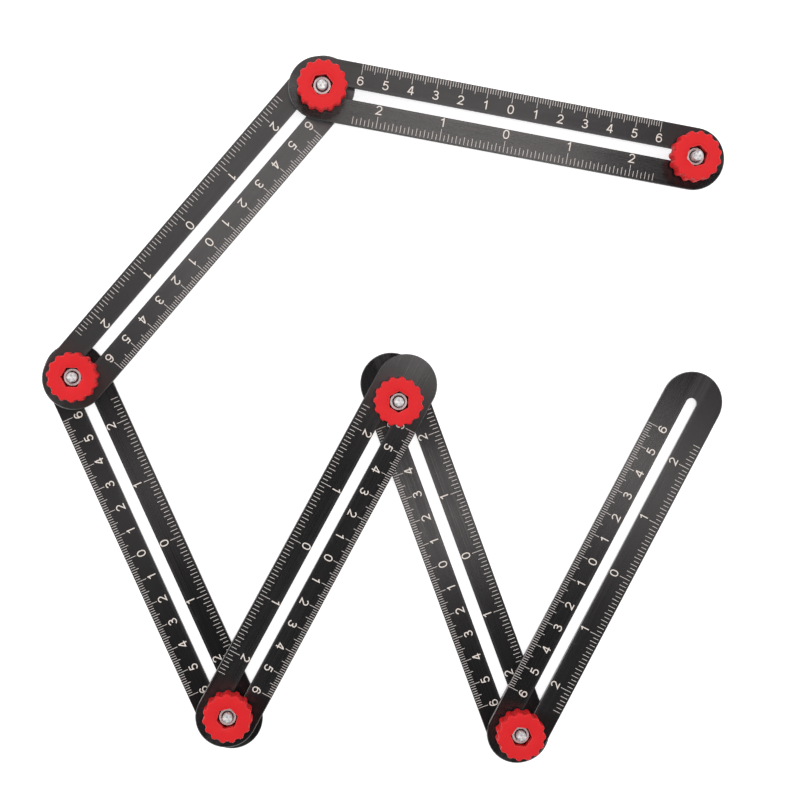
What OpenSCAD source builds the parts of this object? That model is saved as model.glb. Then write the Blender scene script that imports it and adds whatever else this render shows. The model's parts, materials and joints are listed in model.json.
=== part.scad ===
// Multi-angle folding ruler.
// Six slotted ruler arms make an open chain. At each of the five joints a bolt
// passes up through the slots of two arms and carries a washer and a thumb knob
// with a nut in its hexagonal pocket. A sixth bolt and knob wait at the far end
// of arm_1 for the free slot of arm_6, which closes the chain into a ring.
// Loosened knobs let every bolt slide along both slots and every pair of arms turn.
// Z is up, arm_6 lies along Y, and the part stands on the heads of its lowest bolts.

/* [Arms] */
// Length of one arm over its round ends
arm_len = 175; // [150:1:220]
// Width of one arm, and the diameter of its ends
arm_w = 24.6; // [23:0.2:28]
// Thickness of one arm
arm_t = 2; // [1.8:0.1:3]
// Solid metal between the tip of the slot and the end of the arm
end_wall = 10.7; // [10.4:0.1:14]
// Chamfer along the outer edges of an arm
edge_chamfer = 0.3; // [0.1:0.05:0.5]
// Chamfer along the edges of the slot
slot_chamfer = 0.15; // [0.05:0.05:0.3]

/* [Bolts] */
// Diameter of the shank
shank_dia = 3.9; // [3.6:0.1:4.2]
// How much wider the square neck is than the shank
neck_step = 0.2; // [0.1:0.05:0.4]
// How much shorter the neck is than the arm is thick
neck_short = 0.4; // [0.2:0.1:0.8]
// Corner cut off the square neck
neck_corner = 0.85; // [0.7:0.05:1]
// Room on each side of the neck in the slot
neck_play = 0.25; // [0.15:0.05:0.4]
// Diameter of the low round head
head_dia = 10; // [8.6:0.1:11]
// Thickness of the head
head_t = 2; // [1.6:0.1:2.6]
// Radius of the head's lower edge
head_round = 1.2; // [0.6:0.1:1.4]
// Height of the bevel at the bolt's tip
tip_bevel = 0.7; // [0.4:0.1:1]
// How far the tip stays below the top of a knob that clamps two arms
tip_drop = 0.5; // [0:0.1:1.5]

/* [Washers and nuts] */
// Outer diameter of a washer
washer_dia = 9; // [8:0.1:11]
// Thickness of a washer
washer_t = 0.8; // [0.6:0.1:1.2]
// Bevel round the washer's upper edge
washer_bevel = 0.15; // [0.05:0.05:0.25]
// Room round the bolt in the washer and in the knob's floor
bore_play = 0.2; // [0.1:0.05:0.3]
// Width of a nut across its flats
nut_af = 7; // [6.6:0.1:7.6]
// Height of a nut
nut_h = 3.2; // [2.6:0.1:3.8]
// Diameter of the round face that the bevels leave on a nut
nut_face_dia = 6.7; // [6.2:0.1:6.8]
// How far the countersinks widen a nut's bore
nut_sink = 0.45; // [0.2:0.05:0.6]
// Room between the bolt and the nut, on each side
thread_play = 0.05; // [0.03:0.01:0.08]

/* [Knobs] */
// Diameter of a knob over its lobes
knob_dia = 19.6; // [18:0.2:22]
// Number of lobes round the rim
lobe_count = 15; // [12:1:16]
// Radius of one lobe
lobe_r = 1.3; // [1.1:0.1:1.6]
// How much the rounded blank trims off the tip of each lobe
tip_trim = 0.1; // [0.05:0.05:0.2]
// How deep the valleys between the lobes are
valley = 1; // [0.8:0.05:1.2]
// Height of the lobed rim
rim_h = 7.6; // [6.8:0.1:9]
// Radius of the rim's upper edge
rim_round = 0.8; // [0.5:0.1:1.6]
// Radius of the rim's lower edge
rim_foot = 0.4; // [0.2:0.1:0.6]
// Diameter of the boss under the rim
boss_dia = 13; // [11:0.2:15]
// Height of the boss, which keeps the rim clear of the arm
boss_h = 1; // [0.6:0.1:1.6]
// Plastic left under the nut, measured from the boss's foot
knob_floor = 2; // [1.2:0.1:2.4]
// Room on each side of the nut in its pocket
pocket_play = 0.2; // [0.1:0.05:0.25]
// Diameter of the shallow round recess at the mouth of the pocket
mouth_dia = 9.6; // [9.4:0.2:12]
// Depth of that recess
mouth_t = 0.25; // [0.1:0.05:0.4]

/* [Folding] */
// Angle between arm_1 and arm_2
joint_a_angle = 120.5; // [110:0.5:130]
// Angle between arm_2 and arm_3
joint_b_angle = 115.5; // [112:0.5:125]
// Angle between arm_3 and arm_4
joint_c_angle = 52.3; // [45:0.1:60]
// Angle between arm_4 and arm_5
joint_d_angle = 48.6; // [44:0.1:56]
// Angle between arm_5 and arm_6
joint_e_angle = 47.8; // [44:0.1:60]
// Room between pieces that lie on each other
play = 0.1; // [0.05:0.05:0.15]

/* [Hidden] */
$fn = 96;

// One overrun serves every cut
over = 0.5;
// Looks of the pieces
anodised = [0.16, 0.16, 0.17];
zinc = [0.76, 0.77, 0.79];
red_plastic = [0.88, 0.12, 0.15];

// Arms
end_r = arm_w / 2;
end_c = arm_len / 2 - end_r;
neck_w = shank_dia + neck_step;
slot_w = neck_w + 2 * neck_play;
slot_r = slot_w / 2;
slot_c = arm_len / 2 - end_wall - slot_r;

// The neck's corners meet the round end of the slot before its flat does
stop_r = slot_r - play / 2;
neck_half = neck_w / 2;
neck_flat = neck_half - neck_corner;
bolt_stop = slot_c + min(sqrt(stop_r * stop_r - neck_half * neck_half) - neck_flat,
                         sqrt(stop_r * stop_r - neck_flat * neck_flat) - neck_half);

// Level of each arm in the stack, counted from the lowest
ARM_LEVELS = [2, 1, 0, 1, 0, 1];
function arm_z(i) = head_t + play + ARM_LEVELS[i] * (arm_t + play);

// The lower and the upper arm at each bolt. The last bolt holds arm_1 alone.
LOWER_ARM = [1, 2, 2, 4, 4, 0];
UPPER_ARM = [0, 1, 3, 3, 5, 0];

// Which end of the earlier arm and which end of the later arm meet at joints a to e
JOINT_ENDS = [[-1, -1], [1, 1], [-1, 1], [-1, 1], [-1, -1]];
FOLD_SENSE = [-1, -1, -1, 1, -1];
fold_angles = [joint_a_angle, joint_b_angle, joint_c_angle, joint_d_angle, joint_e_angle];

// Where each bolt stands, as a share of the way from the arm's middle to the slot's stop
station_shares = [[1, 1], [1, 1], [0.973, 0.987], [0.917, 0.916], [0.994, 1], [1, 1]];

// Headings of the arms, from their low end to their high end. arm_6 points along +Y.
quarter = 90;
function heading(i) = i == len(ARM_LEVELS) - 1 ? quarter : heading(i + 1) - turn(i);
function turn(j) = FOLD_SENSE[j] * fold_angles[j]
    + (JOINT_ENDS[j][0] == JOINT_ENDS[j][1] ? 0 : 2 * quarter);
function along(a) = [cos(a), sin(a)];

// Middle of each arm, counted from the middle of arm_6
function station(j, n) = JOINT_ENDS[j][n] * station_shares[j][n] * bolt_stop;
function raw_mid(i) = i == len(ARM_LEVELS) - 1 ? [0, 0]
    : raw_mid(i + 1) + station(i, 1) * along(heading(i + 1)) - station(i, 0) * along(heading(i));

// The origin goes to the middle of the box round all the arms
end_points = [for (i = [0:len(ARM_LEVELS) - 1]) for (s = [-1, 1])
    raw_mid(i) + s * end_c * along(heading(i))];
xs = [for (p = end_points) p[0]];
ys = [for (p = end_points) p[1]];
origin_xy = [(min(xs) + max(xs)) / 2, (min(ys) + max(ys)) / 2];
function arm_mid(i) = raw_mid(i) - origin_xy;
function bolt_xy(j) = j == len(FOLD_SENSE)
    ? arm_mid(0) + station_shares[j][0] * bolt_stop * along(heading(0))
    : arm_mid(j) + station(j, 0) * along(heading(j));

// Heights of the pieces on each bolt
knob_h = boss_h + rim_h;
bolt_len = 2 * arm_t + 4 * play + washer_t + knob_h - tip_drop;
function bolt_z(j) = arm_z(LOWER_ARM[j]) - play - head_t;
function washer_z(j) = arm_z(UPPER_ARM[j]) + arm_t + play;
function knob_z(j) = washer_z(j) + washer_t + play;
function nut_z(j) = knob_z(j) + knob_floor + play / 2;

// How far each knob has been turned
knob_turns = [30, 80, 70, 109, 51, 36];
// A corner of the pocket stands this far from a lobe, so that all six corners do
pocket_turn = 6;
// Half of the angle that one side of a hexagon takes
hex_half_angle = 30;
nut_corner_r = nut_af / 2 / cos(hex_half_angle);
// Slope of the bevels that round off a nut's corners
nut_bevel_angle = 30;

// Slotted arm

// A disc with all its edges chamfered, for one round end
module chamfered_disc(r, h, c) {
    rotate_extrude() polygon([[0, 0], [r - c, 0], [r, c], [r, h - c], [r - c, h], [0, h]]);
}

// The bar between the two ends, with the same chamfers
module chamfered_bar(half_len, r, h, c) {
    translate([-half_len, 0, 0]) rotate([quarter, 0, quarter]) linear_extrude(2 * half_len)
        polygon([[c - r, 0], [r - c, 0], [r, c], [r, h - c], [r - c, h], [c - r, h], [-r, h - c], [-r, c]]);
}

// The cut at one end of the slot, flared through both faces
module slot_end(r, h, c) {
    rotate_extrude() polygon([[0, -over], [r + c + over, -over], [r, c], [r, h - c],
                              [r + c + over, h + over], [0, h + over]]);
}

// The straight run of the slot
module slot_run(half_len, r, h, c) {
    wide = r + c + over;
    translate([-half_len, 0, 0]) rotate([quarter, 0, quarter]) linear_extrude(2 * half_len)
        polygon([[-wide, -over], [wide, -over], [r, c], [r, h - c],
                 [wide, h + over], [-wide, h + over], [-r, h - c], [-r, c]]);
}

module ruler_arm(i) {
    color(anodised) translate(concat(arm_mid(i), arm_z(i))) rotate([0, 0, heading(i)]) difference() {
        union() {
            chamfered_bar(end_c, end_r, arm_t, edge_chamfer);
            for (s = [-1, 1]) translate([s * end_c, 0, 0]) chamfered_disc(end_r, arm_t, edge_chamfer);
        }
        slot_run(slot_c, slot_r, arm_t, slot_chamfer);
        for (s = [-1, 1]) translate([s * slot_c, 0, 0]) slot_end(slot_r, arm_t, slot_chamfer);
    }
}

module arm_1() { ruler_arm(0); }
module arm_2() { ruler_arm(1); }
module arm_3() { ruler_arm(2); }
module arm_4() { ruler_arm(3); }
module arm_5() { ruler_arm(4); }
module arm_6() { ruler_arm(5); }

// Bolt with a low flat-bottomed head and a square neck

module bolt_head() {
    head_r = head_dia / 2;
    rotate_extrude() union() {
        square([head_r - head_round, head_t]);
        translate([0, head_round]) square([head_r, head_t - head_round]);
        intersection() {
            translate([head_r - head_round, head_round]) circle(head_round);
            square([head_r, head_t]);
        }
    }
}

module bolt_neck() {
    a = neck_half;
    b = neck_flat;
    linear_extrude(arm_t - neck_short)
        polygon([[a, -b], [a, b], [b, a], [-b, a], [-a, b], [-a, -b], [-b, -a], [b, -a]]);
}

module bolt_shank() {
    r = shank_dia / 2;
    rotate_extrude() polygon([[0, 0], [r, 0], [r, bolt_len - tip_bevel],
                              [r - tip_bevel, bolt_len], [0, bolt_len]]);
}

module clamp_bolt(j) {
    color(zinc) translate(concat(bolt_xy(j), bolt_z(j))) rotate([0, 0, heading(LOWER_ARM[j])])
        union() {
            bolt_head();
            translate([0, 0, head_t]) {
                bolt_neck();
                bolt_shank();
            }
        }
}

module bolt_a() { clamp_bolt(0); }
module bolt_b() { clamp_bolt(1); }
module bolt_c() { clamp_bolt(2); }
module bolt_d() { clamp_bolt(3); }
module bolt_e() { clamp_bolt(4); }
module bolt_f() { clamp_bolt(5); }

// Plain washer

module plain_washer(j) {
    outer = washer_dia / 2;
    inner = shank_dia / 2 + bore_play;
    color(zinc) translate(concat(bolt_xy(j), washer_z(j))) rotate_extrude()
        polygon([[inner, 0], [outer, 0], [outer, washer_t - washer_bevel],
                 [outer - washer_bevel, washer_t], [inner, washer_t]]);
}

module washer_a() { plain_washer(0); }
module washer_b() { plain_washer(1); }
module washer_c() { plain_washer(2); }
module washer_d() { plain_washer(3); }
module washer_e() { plain_washer(4); }
module washer_f() { plain_washer(5); }

// Thumb knob

// The lobed rim, standing on z = 0
module lobed_rim() {
    knob_r = knob_dia / 2;
    cylinder(h = rim_h, r = knob_r - valley);
    for (k = [0:lobe_count - 1]) rotate([0, 0, k * 4 * quarter / lobe_count])
        translate([knob_r + tip_trim - lobe_r, 0, 0]) cylinder(h = rim_h, r = lobe_r);
}

// A turned blank with rounded edges that trims the rim above and below
module rim_blank() {
    knob_r = knob_dia / 2;
    rotate_extrude() union() {
        square([knob_r - rim_round, rim_h]);
        translate([0, rim_foot]) square([knob_r, rim_h - rim_round - rim_foot]);
        intersection() {
            translate([knob_r - rim_round, rim_h - rim_round]) circle(rim_round);
            square([knob_r, rim_h]);
        }
        intersection() {
            translate([knob_r - rim_foot, rim_foot]) circle(rim_foot);
            square([knob_r, rim_h]);
        }
    }
}

module thumb_knob(j) {
    mouth_r = mouth_dia / 2;
    color(red_plastic) translate(concat(bolt_xy(j), knob_z(j))) rotate([0, 0, knob_turns[j]]) difference() {
        union() {
            translate([0, 0, boss_h]) intersection() {
                lobed_rim();
                rim_blank();
            }
            cylinder(h = boss_h + rim_h / 2, d = boss_dia);
        }
        // Shallow recess, then the pocket for the nut, then the hole for the bolt
        translate([0, 0, knob_h - mouth_t])
            cylinder(h = mouth_t + over, r1 = mouth_r - mouth_t, r2 = mouth_r + over);
        translate([0, 0, knob_floor]) rotate([0, 0, pocket_turn])
            cylinder(h = knob_h, r = nut_corner_r + pocket_play / cos(hex_half_angle), $fn = 6);
        translate([0, 0, -over]) cylinder(h = knob_h, r = shank_dia / 2 + bore_play);
    }
}

module knob_a() { thumb_knob(0); }
module knob_b() { thumb_knob(1); }
module knob_c() { thumb_knob(2); }
module knob_d() { thumb_knob(3); }
module knob_e() { thumb_knob(4); }
module knob_f() { thumb_knob(5); }

// Hexagon nut

module hex_nut(j) {
    r = nut_corner_r;
    face = nut_face_dia / 2;
    bevel = (r - face) * tan(nut_bevel_angle);
    bore = shank_dia / 2 + thread_play;
    sunk = bore + nut_sink;
    color(zinc) translate(concat(bolt_xy(j), nut_z(j))) rotate([0, 0, knob_turns[j] + pocket_turn])
        intersection() {
            cylinder(h = nut_h, r = r, $fn = 6);
            rotate_extrude() polygon([[sunk, 0], [face, 0], [r, bevel], [r, nut_h - bevel], [face, nut_h],
                                      [sunk, nut_h], [bore, nut_h - nut_sink], [bore, nut_sink]]);
        }
}

module nut_a() { hex_nut(0); }
module nut_b() { hex_nut(1); }
module nut_c() { hex_nut(2); }
module nut_d() { hex_nut(3); }
module nut_e() { hex_nut(4); }
module nut_f() { hex_nut(5); }

arm_1();
arm_2();
arm_3();
arm_4();
arm_5();
arm_6();
bolt_a();
bolt_b();
bolt_c();
bolt_d();
bolt_e();
bolt_f();
washer_a();
washer_b();
washer_c();
washer_d();
washer_e();
washer_f();
knob_a();
knob_b();
knob_c();
knob_d();
knob_e();
knob_f();
nut_a();
nut_b();
nut_c();
nut_d();
nut_e();
nut_f();
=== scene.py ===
# %% [markdown]
# # Dressing a folding ruler for its picture
#
# The object is a multi-angle ruler: six black metal arms in a chain, clamped at their
# crossings by red thumb knobs. Its exact solids were made in CAD and are loaded here as
# a frame that never moves. What a camera sees beyond those solids is made in this file:
# the finishes, the marks on the scales, the screw threads and the soft moulded edges of
# the knobs.
#
# One Blender unit here is one metre, as in the CAD frame. Lengths are written in
# millimetres, and `mm` turns them into metres.

import json
from math import atan2, ceil, cos, degrees, floor, pi, radians, sin, sqrt

import bmesh
import bpy
from mathutils import Matrix, Vector


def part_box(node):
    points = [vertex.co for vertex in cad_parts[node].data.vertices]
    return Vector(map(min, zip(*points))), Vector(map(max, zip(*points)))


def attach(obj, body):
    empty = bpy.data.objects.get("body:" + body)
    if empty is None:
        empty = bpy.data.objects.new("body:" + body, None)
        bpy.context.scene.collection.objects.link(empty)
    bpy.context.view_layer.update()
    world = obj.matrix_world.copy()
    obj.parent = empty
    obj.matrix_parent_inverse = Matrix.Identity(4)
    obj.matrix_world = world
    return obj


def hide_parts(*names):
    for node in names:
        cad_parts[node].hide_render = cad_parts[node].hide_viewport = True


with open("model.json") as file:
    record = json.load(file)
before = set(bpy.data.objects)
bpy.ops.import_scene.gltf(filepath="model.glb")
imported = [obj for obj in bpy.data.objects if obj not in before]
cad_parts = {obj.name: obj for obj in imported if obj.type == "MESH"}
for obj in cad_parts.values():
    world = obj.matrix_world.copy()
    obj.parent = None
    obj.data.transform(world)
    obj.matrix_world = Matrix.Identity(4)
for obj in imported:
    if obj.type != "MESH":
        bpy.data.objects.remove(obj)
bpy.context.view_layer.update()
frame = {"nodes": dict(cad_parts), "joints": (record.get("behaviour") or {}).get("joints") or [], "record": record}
mm = 0.001

# %% [markdown]
# ## Asking the frame where things are
# Nothing here is placed by eye. A bolt's axis is the middle of its solid's box. An arm
# is symmetric, so its middle is its box's middle too, and its direction is the axis of
# a joint that slides along it. The sign only says which end carries the first 6.

# %% Find each arm, joint and body
JOINTS = {joint["name"]: joint for joint in frame["joints"]}
BODIES = frame["record"]["behaviour"]["bodies"]
BODY_OF = {node: body for body, nodes in BODIES.items() for node in nodes}
SLIDE_ALONG = {
    "arm_1": ("slide_a_along_arm_1", 1),
    "arm_2": ("slide_b_along_arm_2", 1),
    "arm_3": ("slide_c_along_arm_3", 1),
    "arm_4": ("slide_c_along_arm_4", 1),
    "arm_5": ("slide_d_along_arm_5", 1),
    "arm_6": ("slide_e_along_arm_6", -1),
}
JOINT_LETTERS = "abcdef"


def middle(node):
    low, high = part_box(node)
    return (low + high) / 2


def heading(arm):
    """The direction of an arm, in radians from the frame's X."""
    slide, sense = SLIDE_ALONG[arm]
    axis = JOINTS[slide]["axis"]
    return atan2(sense * axis[1], sense * axis[0])


def arm_place(arm):
    """From an arm's own axes to the frame: x along its scales, z = 0 on its upper face."""
    centre = middle(arm)
    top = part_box(arm)[1].z
    return Matrix.Translation((centre.x, centre.y, top)) @ Matrix.Rotation(heading(arm), 4, "Z")


def joint_place(letter, part, turn=0.0):
    """On the axis of a joint, at the lowest point of the bolt, nut or knob there."""
    centre = middle(f"bolt_{letter}")
    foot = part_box(f"{part}_{letter}")[0].z
    return Matrix.Translation((centre.x, centre.y, foot)) @ Matrix.Rotation(radians(turn), 4, "Z")


for arm in SLIDE_ALONG:
    print(arm, "lies at", round(degrees(heading(arm)), 1), "degrees")

# %% [markdown]
# ## The camera
# The picture was taken from nearly straight above. Both scales of every arm are true
# scales, so their marks say where the camera stood: with the marks of all six arms
# matched at once, it is 0.6 m up and leans by about four degrees. The picture is
# square and as wide as 800 units where the lens' distance is 1500, so a 36 mm sensor
# needs a 67.5 mm lens.

# %% Place the camera
SENSOR = 36.0
PICTURE_WIDTH, LENS_DISTANCE = 800, 1500
CAMERA_AT = (-35.6 * mm, 13.2 * mm, 599.4 * mm)
CAMERA_TURN = (-2.78, -3.10, 27.72)

camera_data = bpy.data.cameras.new("camera")
camera_data.sensor_width = SENSOR
camera_data.lens = SENSOR * LENS_DISTANCE / PICTURE_WIDTH
camera = bpy.data.objects.new("camera", camera_data)
camera.location = CAMERA_AT
camera.rotation_euler = [radians(angle) for angle in CAMERA_TURN]
bpy.context.scene.collection.objects.link(camera)
bpy.context.scene.camera = camera
bpy.context.scene.view_settings.view_transform = "Standard"
print("lens", camera_data.lens, "mm")

# %% [markdown]
# ## Small helpers for node materials
# Every finish below is a network of nodes. `put` adds one node and sets its options,
# and `feed` fills sockets either with a value or with the output of another node, so
# that a finish reads from top to bottom like a recipe. The helpers after them name the
# steps that come back in every recipe.

# %% Write node networks as recipes
def feed(tree, node, sockets):
    """Each socket takes the output of another node, or a value of its own."""
    for name, value in sockets.items():
        if isinstance(value, bpy.types.NodeSocket):
            tree.links.new(value, node.inputs[name])
        else:
            node.inputs[name].default_value = value


def put(tree, kind, sockets=None, **options):
    """One node, with its options set and its sockets fed."""
    node = tree.nodes.new("ShaderNode" + kind)
    for name, value in options.items():
        setattr(node, name, value)
    feed(tree, node, sockets or {})
    return node


def new_finish(name, constants):
    """A material, its tree and its shader, with the constants set on the shader itself."""
    material = bpy.data.materials.new(name)
    material.use_nodes = True
    shader = material.node_tree.nodes["Principled BSDF"]
    feed(material.node_tree, shader, constants)
    return material, material.node_tree, shader


def finish_piece(piece, material):
    """One material for the whole piece."""
    piece.data.materials.clear()
    piece.data.materials.append(material)


print("a recipe for a finish takes put, feed and new_finish")

# %% Name the steps that come back
def number(tree, operation, *values):
    """A number worked out from others."""
    return put(tree, "Math", dict(enumerate(values)), operation=operation).outputs["Value"]


def vector(tree, operation, *values):
    """A vector worked out from others."""
    return put(tree, "VectorMath", dict(enumerate(values)), operation=operation).outputs["Vector"]


def spread(tree, value, low, high, start=0.0, end=1.0, **options):
    """The stretch of a value between start and end, made to run from low to high."""
    return put(tree, "MapRange", {"Value": value, "From Min": start, "From Max": end,
                                  "To Min": low, "To Max": high}, **options).outputs["Result"]


def tint(tree, value, first, second):
    """From the first colour to the second as a value goes from 0 to 1."""
    return put(tree, "Mix", {"Factor": value, "A": first, "B": second},
               data_type="RGBA").outputs["Result"]


def noise(tree, at, scale, detail, roughness=0.5):
    """Cloudy noise from 0 to 1, its scale in clouds to the metre."""
    return put(tree, "TexNoise", {"Vector": at, "Scale": scale, "Detail": detail,
                                  "Roughness": roughness}).outputs["Fac"]


def relief(tree, height, depth, strength, **more):
    """A normal that follows a relief of the given depth."""
    return put(tree, "Bump", {"Height": height, "Distance": depth, "Strength": strength,
                              **more}).outputs["Normal"]


print("numbers, vectors, colours, noise and relief have a helper each")

# %% [markdown]
# ### Edges and sheltered places
# Two things come back on several finishes here. Edges are paler: on the knobs that is a painted highlight, on the
# arms partly worn dye and partly a painted highlight. Places where walls stand close together are darker, which is
# painted shade. Both could be painted by hand, but they can also be measured while rendering, and then they follow
# every change of shape. A normal that is bevelled leaves the true one only near an edge, and ambient occlusion
# tells how much open air a point sees.

# %% Measure edges and shelter
OPEN_AIR, SHELTERED = 0.70, 0.25


def edge_mask(tree, radius, start, full, most):
    """As much as `most` where the two normals agree no better than `full`, none at `start`."""
    round_normal = put(tree, "Bevel", {"Radius": radius}, samples=4).outputs["Normal"]
    true_normal = put(tree, "NewGeometry").outputs["Normal"]
    agree = put(tree, "VectorMath", {0: round_normal, 1: true_normal}, operation="DOT_PRODUCT")
    return spread(tree, agree.outputs["Value"], 0.0, most, start=start, end=full)


def with_painted_shade(tree, colour, reach, shade):
    """The colour, turned towards a painted shade where walls stand closer than the reach."""
    open_air = put(tree, "AmbientOcclusion", {"Distance": reach}, samples=8).outputs["AO"]
    shelter = spread(tree, open_air, 0.0, 1.0, start=OPEN_AIR, end=SHELTERED)
    return tint(tree, shelter, colour, shade)


print("full shade where a point sees less than", SHELTERED, "of the open air")

# %% [markdown]
# ## The arms: black anodised metal, brushed along
# The real arms are aluminium strips, brushed lengthwise and then anodised black. Nearly
# all that is seen of such a surface is what it mirrors, so its own colour is almost
# none, and the care goes into its reflection. The fine grooves are noise stretched
# along the arm, used for colour, roughness and relief alike. That takes the arm's own
# axes, and they come from its middle and its heading.

# %% Stretch noise along an arm
STREAK_LENGTH, STREAK_WIDTH = 60 * mm, 0.45 * mm


def own_axes(tree, arm):
    """The place on an arm, with x along the brushing and y across it."""
    at = put(tree, "TexCoord").outputs["Object"]
    moved = vector(tree, "SUBTRACT", at, middle(arm))
    return put(tree, "VectorRotate", {"Vector": moved, "Angle": -heading(arm)},
               rotation_type="Z_AXIS").outputs["Vector"]


def brushing(tree, own):
    """Fine streaks along the arm, from 0 to 1."""
    stretch = (1 / STREAK_LENGTH, 1 / STREAK_WIDTH, 1 / STREAK_WIDTH)
    stretched = put(tree, "Mapping", {"Vector": own, "Scale": stretch}, vector_type="POINT")
    return noise(tree, stretched.outputs["Vector"], scale=1.0, detail=4.0, roughness=0.65)


print("streaks are about", round(STREAK_LENGTH / STREAK_WIDTH), "times as long as wide")

# %% [markdown]
# ### Where the black has worn, and its painted edge highlight
# The washers have rubbed a band on both sides of the slot, in small scuffs. The edges are paler, partly from lost
# dye and partly as a painted highlight along them. The cutter that opened the slot left a paler strip of fine
# lines along it. Each is a mask from 0 to 1, and the largest of the three counts.

# %% Find the worn places of an arm and its painted edge highlight
SLOT_WIDTH = 4.6 * mm
RUBBED_BAND, CUT_STRIP = 3.2 * mm, 1.3 * mm
SCUFFS_PER_METRE = 420.0
ARM_EDGE = 0.25 * mm


def beside_slot(tree, aside, near, far, most):
    """A band along the slot, at its most up to `near` from the slot's edge, gone at `far`."""
    return spread(tree, aside, 0.0, most, start=SLOT_WIDTH / 2 + far, end=SLOT_WIDTH / 2 + near,
                  interpolation_type="SMOOTHSTEP")


def wear_and_edge_highlight(tree, own, across, streaks):
    """How much of the black gives way to pale metal, from 0 to 1: worn places, and edges that are partly a painted
    highlight.
    """
    aside = number(tree, "ABSOLUTE", across)
    band = beside_slot(tree, aside, near=0.0, far=RUBBED_BAND, most=1.0)
    scuffs = noise(tree, own, SCUFFS_PER_METRE, detail=6.0, roughness=0.75)
    scuffed = spread(tree, scuffs, 0.0, 1.0, start=0.52, end=0.75)
    paled = number(tree, "MULTIPLY", band, scuffed)
    # The edges: partly worn dye, partly a painted highlight along them
    edges = edge_mask(tree, ARM_EDGE, start=0.995, full=0.90, most=0.55)
    strip = beside_slot(tree, aside, near=CUT_STRIP / 2, far=CUT_STRIP, most=0.75)
    lines = number(tree, "MULTIPLY", strip, streaks)
    return number(tree, "MAXIMUM", number(tree, "MAXIMUM", paled, edges), lines)


print("rubbed up to", round((SLOT_WIDTH / 2 + RUBBED_BAND) / mm, 1), "mm from an arm's middle line")

# %% [markdown]
# ### Sheen and lean
# Brushing spreads a highlight across the grooves, which is what anisotropy does when
# the tangent lies across the arm. A real chain isn't perfectly flat either: each arm is
# clamped between others and leans along itself, mostly by a degree or two and arm_5 by
# six, which moves the pale band that it mirrors. The leaning is done to the shading
# alone. It and the sheen are each arm's own, since every arm has been handled
# differently.

# %% Finish the arms
BLACK_DEEP, BLACK_WORN = (0.0015, 0.0015, 0.0020, 1), (0.0125, 0.0118, 0.0128, 1)
# Pale metal and its largest share: wear, and on the edges partly a painted highlight
BARE_AND_HIGHLIGHT, WEAR_AND_HIGHLIGHT_MOST = (0.085, 0.083, 0.084, 1), 0.50
SMOOTH_STREAK, ROUGH_STREAK = 0.18, 0.42
CLOUDS_PER_METRE, CLOUD_ROUGHNESS = 55.0, 0.04
GROOVE_DEPTH = 0.016 * mm
HANDLING = {
    # arm: (lean along itself in radians, sheen, extra roughness, and how much rougher
    # the centimetre half is than the middle, as the inch half is smoother)
    "arm_1": (-0.012, 0.40, 0.03, 0.09),
    "arm_2": (-0.03, 0.77, 0.20, -0.06),
    "arm_3": (0.03, 0.23, 0.0, 0.04),
    "arm_4": (0.015, 0.46, 0.0, 0.0),
    "arm_5": (0.103, 0.24, 0.0, 0.0),
    "arm_6": (0.024, 0.41, 0.0, -0.03),
}


def level_direction(tree, angle):
    """A direction in the arm's plane, which turns with the arm when a joint moves."""
    direction = put(tree, "CombineXYZ", {"X": cos(angle), "Y": sin(angle), "Z": 0.0}).outputs["Vector"]
    return put(tree, "VectorTransform", {"Vector": direction}, vector_type="VECTOR",
               convert_from="OBJECT", convert_to="WORLD").outputs["Vector"]


def anodised(arm):
    lean, sheen, rougher, uneven = HANDLING[arm]
    constants = {"IOR": 2.0, "Anisotropic": 0.92, "Specular IOR Level": sheen}
    material, tree, shader = new_finish(f"anodised_{arm}", constants)
    own = own_axes(tree, arm)
    across = put(tree, "SeparateXYZ", {"Vector": own}).outputs["Y"]
    streaks = brushing(tree, own)

    dye = tint(tree, streaks, BLACK_DEEP, BLACK_WORN)
    wear_and_highlight = spread(tree, wear_and_edge_highlight(tree, own, across, streaks), 0.0, WEAR_AND_HIGHLIGHT_MOST)

    # The two halves beside the slot weren't brushed with quite the same pressure
    clouds = noise(tree, own, CLOUDS_PER_METRE, detail=3.0, roughness=0.6)
    cloudy = spread(tree, clouds, -CLOUD_ROUGHNESS, CLOUD_ROUGHNESS)
    by_half = spread(tree, across, -uneven, uneven, start=-SLOT_WIDTH / 2, end=SLOT_WIDTH / 2)
    streaky = spread(tree, streaks, SMOOTH_STREAK + rougher, ROUGH_STREAK + rougher)
    gloss = number(tree, "ADD", streaky, number(tree, "ADD", cloudy, by_half))

    along = level_direction(tree, heading(arm))
    true_normal = put(tree, "NewGeometry").outputs["Normal"]
    leaned = vector(tree, "MULTIPLY_ADD", along, (lean, lean, lean), true_normal)
    facing = vector(tree, "NORMALIZE", leaned)

    feed(tree, shader, {
        # Worn places, and a painted highlight on the edges, turn the black towards pale metal
        "Base Color": tint(tree, wear_and_highlight, dye, BARE_AND_HIGHLIGHT),
        "Roughness": gloss,
        "Normal": relief(tree, streaks, GROOVE_DEPTH, strength=0.7, Normal=facing),
        "Tangent": level_direction(tree, heading(arm) + pi / 2),
    })
    return material


for arm in HANDLING:
    finish_piece(frame["nodes"][arm], anodised(arm))
print("six arms finished, each brushed along itself")

# %% [markdown]
# ## The digits
# The scales carry the plain numbers 0 to 6 in a wide upright lettering without feet.
# Type would bring its own font, so each digit is drawn the way a pantograph cutter
# draws it: as one or two strokes of even width. A stroke is a ribbon around a line,
# with its corners mitred, and a boolean union melts the strokes of one digit together.

# %% Lines and arcs for strokes
DIGIT_HEIGHT, DIGIT_WIDTH, HALF_STROKE = 3.5, 2.5, 0.215
ARC_STEP = 7.5


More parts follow.
